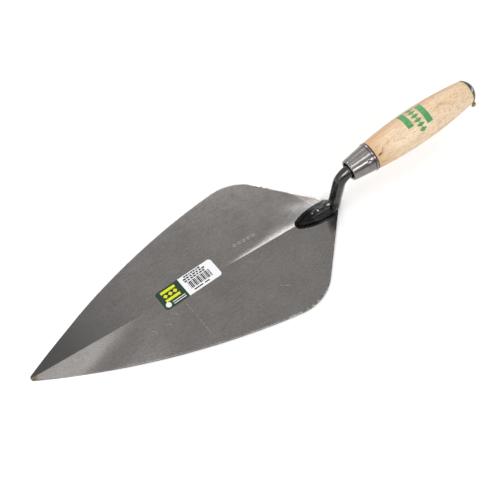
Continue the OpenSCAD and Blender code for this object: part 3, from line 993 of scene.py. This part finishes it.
def add_wrapped_patch(target, at, arc, half_length, half_arc, shape, steps=8):
    """A thin closed patch that follows the grip; shape(s) scales its length at share s of its arc."""
    layers = []
    for lift in (PRINT_LIFT, -PRINT_LIFT):
        rows = []
        for i in range(steps + 1):
            s = 2 * i / steps - 1
            row = []
            for j in range(steps + 1):
                t = (2 * j / steps - 1) * shape(s)
                place = at + half_length * t
                radius = grip_radius(place) + lift
                around = PRINT_AROUND + (arc + half_arc * s) / GRIP_RADIUS
                local = Vector((radius * math.cos(around), radius * math.sin(around), place))
                row.append(target.verts.new(ON_HANDLE @ local))
            rows.append(row)
        layers.append(rows)
    for rows in layers:
        for first, second in zip(rows, rows[1:]):
            for j in range(steps):
                target.faces.new((first[j], first[j + 1], second[j + 1], second[j]))
    over, under = layers
    for i in range(steps):
        for j in (0, steps):
            target.faces.new((over[i][j], over[i + 1][j], under[i + 1][j], under[i][j]))
            target.faces.new((over[j][i], over[j][i + 1], under[j][i + 1], under[j][i]))


def build_grip_print(material):
    """A plain ornament in green ink: two bars round the grip with a row of lozenges between them."""
    mesh = bmesh.new()
    for offset, arc, half_width, half_arc in PRINT_BARS:
        add_wrapped_patch(mesh, PRINT_AT + offset, arc, half_width, half_arc, lambda s: 1.0, 12)
    for index in PRINT_LOZENGES:
        add_wrapped_patch(mesh, PRINT_AT, index * PRINT_PITCH, *PRINT_LOZENGE_SIZE, lambda s: 1.02 - abs(s))
    return finish_piece(mesh, "grip_print", [], [material], 40)


def ink_material():
    ink = Shader("green_ink")
    grain = ink.noise(ink.on_handle((900, 900, 90)), 1.0, 4, 0.65)
    ink.blend(ink.fade(grain, 0.50, 0.78), (66, 142, 84), (150, 178, 126))
    return ink.finished(0.5, ink.bump(grain, 0.03 * MM))


# ------------ butt cap and nail

CAP_CLEARANCE = 0.02 * MM
HAMMER_DEPTH = 0.04 * MM
NAIL_AROUND = math.radians(-61.3)
NAIL_FROM_AXIS = math.radians(65)
NAIL_HEAD_RADIUS = 2.2 * MM
NAIL_HEAD_HEIGHT = 2.6 * MM
NAIL_SHANK_RADIUS = 0.7 * MM
NAIL_SHANK_LENGTH = 6 * MM
# Outlines as (share of the radius, share of the length), from the point up and from the head's underside up
NAIL_SHANK = ((0.0, 1.0), (0.5, 0.9), (1.0, 0.8), (1.0, 0.0))
NAIL_HEAD = ((0.93, 0.0), (1.0, 0.12), (1.0, 0.38), (0.86, 0.66), (0.6, 0.9), (0.3, 0.98), (0.0, 1.0))
ON_DOME = ON_HANDLE @ Matrix.Translation((0, 0, DOME_AT))
ON_NAIL = (
    ON_DOME
    @ Matrix.Rotation(NAIL_AROUND, 4, "Z")
    @ Matrix.Rotation(NAIL_FROM_AXIS, 4, "Y")
    @ Matrix.Translation((0, 0, DOME_RADIUS + CAP_WALL))
)


def hammered(radius, at, around):
    point = (radius * math.cos(around), radius * math.sin(around), at)
    return HAMMER_DEPTH * (speckle(point, 3 * MM, 5) - 0.75)


def build_cap(material):
    outside = DOME_RADIUS + CAP_WALL
    inside = DOME_RADIUS + CAP_CLEARANCE
    rim_height = CAP_RIM_AT - DOME_AT
    rim_outer = math.asin(rim_height / outside)
    rim_inner = math.asin(rim_height / DOME_RADIUS)
    outer = arc_profile(0, 0, outside, 90, math.degrees(rim_outer) + 1.5, 22)[1:]
    rolled = [((outside - CAP_WALL / 2) * math.cos(rim_outer), rim_height - 0.05 * MM)]
    inner = arc_profile(0, 0, inside, math.degrees(rim_inner), 90, 14)[:-1]
    profile = [(0.0, outside)] + outer + rolled + inner + [(0.0, inside)]
    mesh = bmesh.new()
    add_lathe(mesh, profile, 96, ON_DOME, hammered)
    return finish_piece(mesh, "butt_cap_shell", ["butt_cap"], [material], 40)


def cap_material():
    cap = Shader("cap_steel", Metallic=1.0)
    scuffs = cap.noise(cap.mapped(), 400, 4, 0.6)
    cap.blend(cap.fade(scuffs, 0.35, 0.7), (72, 74, 78), (98, 100, 104))
    return cap.finished(cap.fade(scuffs, 0.3, 0.75, 0.08, 0.18), cap.bump(scuffs, 0.006 * MM))


def build_nail(material):
    profile = [(NAIL_SHANK_RADIUS * wide, -NAIL_SHANK_LENGTH * deep) for wide, deep in NAIL_SHANK]
    profile += [(NAIL_HEAD_RADIUS * wide, NAIL_HEAD_HEIGHT * high) for wide, high in NAIL_HEAD]
    mesh = bmesh.new()
    add_lathe(mesh, profile, 48, ON_NAIL)
    return finish_piece(mesh, "nail_head", ["cap_nail"], [material], 50)


def nail_material():
    brass = Shader("nail_brass", Metallic=1.0)
    tarnish = brass.noise(brass.mapped(), 700, 4, 0.6)
    brass.blend(brass.fade(tarnish, 0.35, 0.7), (176, 152, 100), (120, 100, 66))
    return brass.finished(brass.fade(tarnish, 0.3, 0.75, 0.22, 0.5), brass.bump(tarnish, 0.03 * MM))


# ------------ label

LABEL_LENGTH = 52.8 * MM
LABEL_WIDTH = 18 * MM
LABEL_TURN = math.radians(4.5)
LABEL_CORNER = 2.6 * MM
INK_LIFT = 0.03 * MM
GREEN_SHARE = 0.41
FILM_SUNK = 0.02 * MM              # the film starts this far inside the blade's face


def label_point(along, across):
    """A point of the unturned label, from shares of its length and width."""
    return LABEL_LENGTH * (along - 0.5), LABEL_WIDTH * (across - 0.5)


def place_label(mesh):
    """Turns a mesh drawn about the label's centre and puts it on the blade."""
    centre = (LABEL_LOW + LABEL_HIGH) / 2
    place = Matrix.Translation((centre.x, centre.y, 0)) @ Matrix.Rotation(LABEL_TURN, 4, "Z")
    bmesh.ops.transform(mesh, matrix=place, verts=mesh.verts)


def rounded_outline(low, high, radii, steps=8):
    """Outline of a rectangle whose corners, from the low one counter-clockwise, have these radii."""
    corners = ((low[0], low[1]), (high[0], low[1]), (high[0], high[1]), (low[0], high[1]))
    inward = ((1, 1), (-1, 1), (-1, -1), (1, -1))
    points = []
    for index, (corner, turn, radius) in enumerate(zip(corners, inward, radii)):
        if radius == 0:
            points.append(corner)
            continue
        centre = (corner[0] + turn[0] * radius, corner[1] + turn[1] * radius)
        for share in shares(steps):
            angle = math.radians(180 + 90 * (index + share))
            points.append((centre[0] + radius * math.cos(angle), centre[1] + radius * math.sin(angle)))
    return points


def add_inked_prism(mesh, outline, low, high, material_index):
    """A prism whose new faces all get one material."""
    before = len(mesh.faces)
    add_prism(mesh, outline, low, high)
    mesh.faces.ensure_lookup_table()
    for face in mesh.faces[before:]:
        face.material_index = material_index


def build_label(green, white):
    mesh = bmesh.new()
    round_end, square_end = LABEL_CORNER, 0.0
    halves = (
        (0, GREEN_SHARE, (round_end, square_end, square_end, round_end)),
        (GREEN_SHARE, 1, (square_end, round_end, round_end, square_end)),
    )
    for material_index, (start, end, corners) in enumerate(halves):
        outline = rounded_outline(label_point(start, 0), label_point(end, 1), corners)
        add_inked_prism(mesh, outline, BLADE_THICK - FILM_SUNK, LABEL_HIGH.z - INK_LIFT, material_index)
    place_label(mesh)
    return finish_piece(mesh, "label_film", ["label"], [green, white], 40)


def film_material(name, shade, worn):
    film = Shader(name, Specular_IOR_Level=0.25)
    mottle = film.noise(film.mapped(), 900, 3, 0.6)
    film.blend(film.fade(mottle, 0.35, 0.75), shade, worn)
    waves = film.bump(film.noise(film.mapped(), 160, 2, 0.5), 0.05 * MM)
    return film.finished(film.fade(mottle, 0.3, 0.75, 0.34, 0.5), waves)


def build_label_print(yellow, white, black):
    """The label's ink: a plain yellow ornament, a white disc, pale lines, dark lines and a row of bars."""
    mesh = bmesh.new()
    in_yellow, in_white, in_black = range(3)

    def ink(outline, material_index):
        add_inked_prism(mesh, outline, LABEL_HIGH.z - 2 * INK_LIFT, LABEL_HIGH.z, material_index)

    def block(along, across, size_along, size_across, material_index):
        """A printed rectangle about a centre, in shares of the label's length and width."""
        low = label_point(along - size_along / 2, across - size_across / 2)
        high = label_point(along + size_along / 2, across + size_across / 2)
        ink(rounded_outline(low, high, (0.0,) * 4), material_index)

    # Two yellow bars with three lozenges between them
    ornament_across = 0.62
    for side in (-1, 1):
        block(0.20, ornament_across + side * 0.22, 0.25, 0.13, in_yellow)
    for index in range(3):
        x, y = label_point(0.115 + 0.085 * index, ornament_across)
        half_long = 0.038 * LABEL_LENGTH
        half_wide = 0.105 * LABEL_WIDTH
        ink([(x - half_long, y), (x, y - half_wide), (x + half_long, y), (x, y + half_wide)], in_yellow)
    # A white disc and two pale lines
    disc_x, disc_y = label_point(0.075, 0.20)
    disc_radius = 0.13 * LABEL_WIDTH
    spokes = [(math.cos(around), math.sin(around)) for around in turns(28)]
    ink([(disc_x + disc_radius * east, disc_y + disc_radius * north) for east, north in spokes], in_white)
    for row in range(2):
        block(0.26, 0.21 - 0.10 * row, 0.22, 0.035, in_white)
    # Three rows of dashes of unequal length, from one share of the label's length to another
    dash_count = 7
    for row, (start, end) in enumerate(((0.50, 0.80), (0.47, 0.86), (0.47, 0.84))):
        pitch = (end - start) / dash_count
        for dash in range(dash_count):
            filled = 0.76 + 0.18 * math.sin(2.3 * dash + row)
            block(start + pitch * (dash + 0.5), 0.92 - 0.115 * row, pitch * filled, 0.075, in_black)
    # Upright bars of unequal width that stand for no number, and two short lines beside them
    for bar, share in enumerate(shares(15)):
        block(between(0.50, 0.87, share), 0.42, 0.007 + 0.016 * math.sin(bar * 1.1) ** 2, 0.38, in_black)
    for along, size_along in ((0.60, 0.16), (0.75, 0.08)):
        block(along, 0.13, size_along, 0.06, in_black)
    place_label(mesh)
    return finish_piece(mesh, "label_print", [], [yellow, white, black], 40)


# ------------ stage

CAMERA_TARGET = Vector((54.786 * MM, 3.477 * MM, 0))
CAMERA_AZIMUTH = math.radians(-29.898)
CAMERA_ELEVATION = math.radians(57.650)
CAMERA_ROLL = math.radians(-3.751)
CAMERA_DISTANCE = 709.87 * MM
SENSOR_WIDTH = 36
LENS = 1.78362 * SENSOR_WIDTH
FLOOR_HALF_SIZE = 3.0
FLOOR_DROP = 0.1 * MM              # the floor lies this far under the blade
OPENING_SHARE = 0.97               # the floor's opening, as a share of the blade's outline


def add_camera():
    back = Vector((
        math.sin(CAMERA_AZIMUTH) * math.cos(CAMERA_ELEVATION),
        -math.cos(CAMERA_AZIMUTH) * math.cos(CAMERA_ELEVATION),
        math.sin(CAMERA_ELEVATION),
    ))
    level_right = Vector((0, 0, 1)).cross(back).normalized()
    level_up = back.cross(level_right)
    right = math.cos(CAMERA_ROLL) * level_right + math.sin(CAMERA_ROLL) * level_up
    up = math.cos(CAMERA_ROLL) * level_up - math.sin(CAMERA_ROLL) * level_right
    data = bpy.data.cameras.new("photo_camera")
    data.sensor_width = SENSOR_WIDTH
    data.lens = LENS
    data.clip_start = 0.05
    data.clip_end = 50
    camera = new_object("photo_camera", data)
    turn = Matrix((right, up, back)).transposed()
    camera.matrix_world = Matrix.Translation(CAMERA_TARGET + back * CAMERA_DISTANCE) @ turn.to_4x4()
    bpy.context.scene.camera = camera


def add_softbox(name, aim, direction, distance, width, height, radiance):
    """An area light that is seen from the aim point in that direction and glows with that radiance."""
    data = bpy.data.lights.new(name, "AREA")
    data.shape = "RECTANGLE"
    data.size = width
    data.size_y = height
    data.energy = radiance * math.pi * width * height
    light = new_object(name, data)
    towards = Vector(direction).normalized()
    light.location = Vector(aim) + towards * distance
    light.rotation_euler = towards.to_track_quat("Z", "Y").to_euler()


def add_lights():
    tip = (TIP_X + 30 * MM, 0, 0)
    heel = (FOOT_FRONT_X - 20 * MM, 0, 0)
    ferrule = ON_HANDLE @ Vector((0, 0, FERRULE_LENGTH / 2))
    butt = ON_HANDLE @ Vector((0, 0, HANDLE_LENGTH))
    add_softbox("tip_light", tip, (-0.03, 0.26, 0.96), 0.9, 0.38, 0.22, 1.1)
    add_softbox("heel_light", heel, (0.324, 0.725, 0.61), 0.9, 0.36, 0.30, 4.8)
    add_softbox("overhead_light", ferrule, (-0.14, -0.2, 0.97), 1.2, 0.8, 0.10, 7)
    add_softbox("front_light", ferrule, (-0.08, -0.78, 0.62), 1.2, 1.1, 0.18, 8)
    add_softbox("butt_light", butt, (0.99, -0.05, 0.02), 1.0, 0.30, 0.10, 10)
    add_softbox("side_fill", (0, 0, 0), (-0.85, 0.1, 0.52), 1.6, 1.2, 1.2, 1.6)


def add_world():
    """A soft studio all round: pale, and darker low down in front and to the butt's side."""
    world = bpy.data.worlds.new("studio")
    world.use_nodes = True
    tree = world.node_tree
    direction = add_node(tree, "TexCoord", {}, "Generated")
    x, y = (add_node(tree, "SeparateXYZ", {"Vector": direction}, axis) for axis in "XY")
    from_front = add_fade(tree, y, -1.0, 0.0, 0.42, 0.85)
    from_butt = add_fade(tree, x, 0.36, 0.70, 1.0, 0.5)
    strength = add_node(tree, "Math", {0: from_front, 1: from_butt}, "Value", operation="MULTIPLY")
    background = tree.nodes["Background"]
    feed(tree, background.inputs["Strength"], strength)
    feed(tree, background.inputs["Color"], (1, 1, 1, 1))
    bpy.context.scene.world = world


def floor_material():
    """White paint that is seen from above only."""
    paint = Shader("floor_paint", Base_Color=(0.95, 0.95, 0.95, 1), Roughness=0.9)
    sides = {
        0: add_node(paint.tree, "NewGeometry", {}, "Backfacing"),
        1: paint.principled.outputs["BSDF"],
        2: add_node(paint.tree, "BsdfTransparent", {}, "BSDF"),
    }
    surface = paint.tree.nodes["Material Output"].inputs["Surface"]
    feed(paint.tree, surface, add_node(paint.tree, "MixShader", sides, "Shader"))
    return paint.material


def add_floor():
    """A plain pale floor just under the blade, with an opening beneath it.

    The opening is hidden by the blade, and lets light reach the blade's underside.
    """
    level = cad_low.z - FLOOR_DROP
    corners = [(x * FLOOR_HALF_SIZE, y * FLOOR_HALF_SIZE) for x, y in ((-1, -1), (1, -1), (1, 1), (-1, 1))]
    middle = (TIP_X + HEEL_X) / 2
    left = [(middle + OPENING_SHARE * (x - middle), OPENING_SHARE * y) for x, y in BLADE_SIDE]
    opening = left + [(x, -y) for x, y in reversed(left) if y > 0]
    sheet = bmesh.new()
    for outline in (corners, opening):
        ring = [sheet.verts.new((x, y, level)) for x, y in outline]
        for index, point in enumerate(ring):
            sheet.edges.new((point, ring[index - 1]))
    bmesh.ops.triangle_fill(sheet, use_beauty=True, edges=sheet.edges, normal=(0, 0, 1))
    for face in sheet.faces:
        face.normal_update()
        if face.normal.z < 0:
            face.normal_flip()
    mesh = bpy.data.meshes.new("floor")
    sheet.to_mesh(mesh)
    sheet.free()
    mesh.materials.append(floor_material())
    floor = new_object("floor", mesh)


# ------------ the whole object

build_blade(blade_material())
build_tang(lacquer_material())
build_weld(lacquer_material("weld_lacquer"))
build_ferrule(ferrule_material())
build_grip(wood_material())
build_grip_print(ink_material())
build_cap(cap_material())
build_nail(nail_material())
build_label(
    film_material("green_film", (24, 50, 34), (34, 60, 44)),
    film_material("white_film", (222, 222, 223), (231, 231, 232)),
)
build_label_print(
    film_material("yellow_ink", (214, 214, 30), (196, 200, 20)),
    film_material("pale_ink", (226, 230, 222), (206, 212, 204)),
    film_material("black_ink", (24, 23, 25), (44, 42, 44)),
)

add_camera()
add_lights()
add_world()
add_floor()
bpy.context.scene.view_settings.view_transform = "Standard"
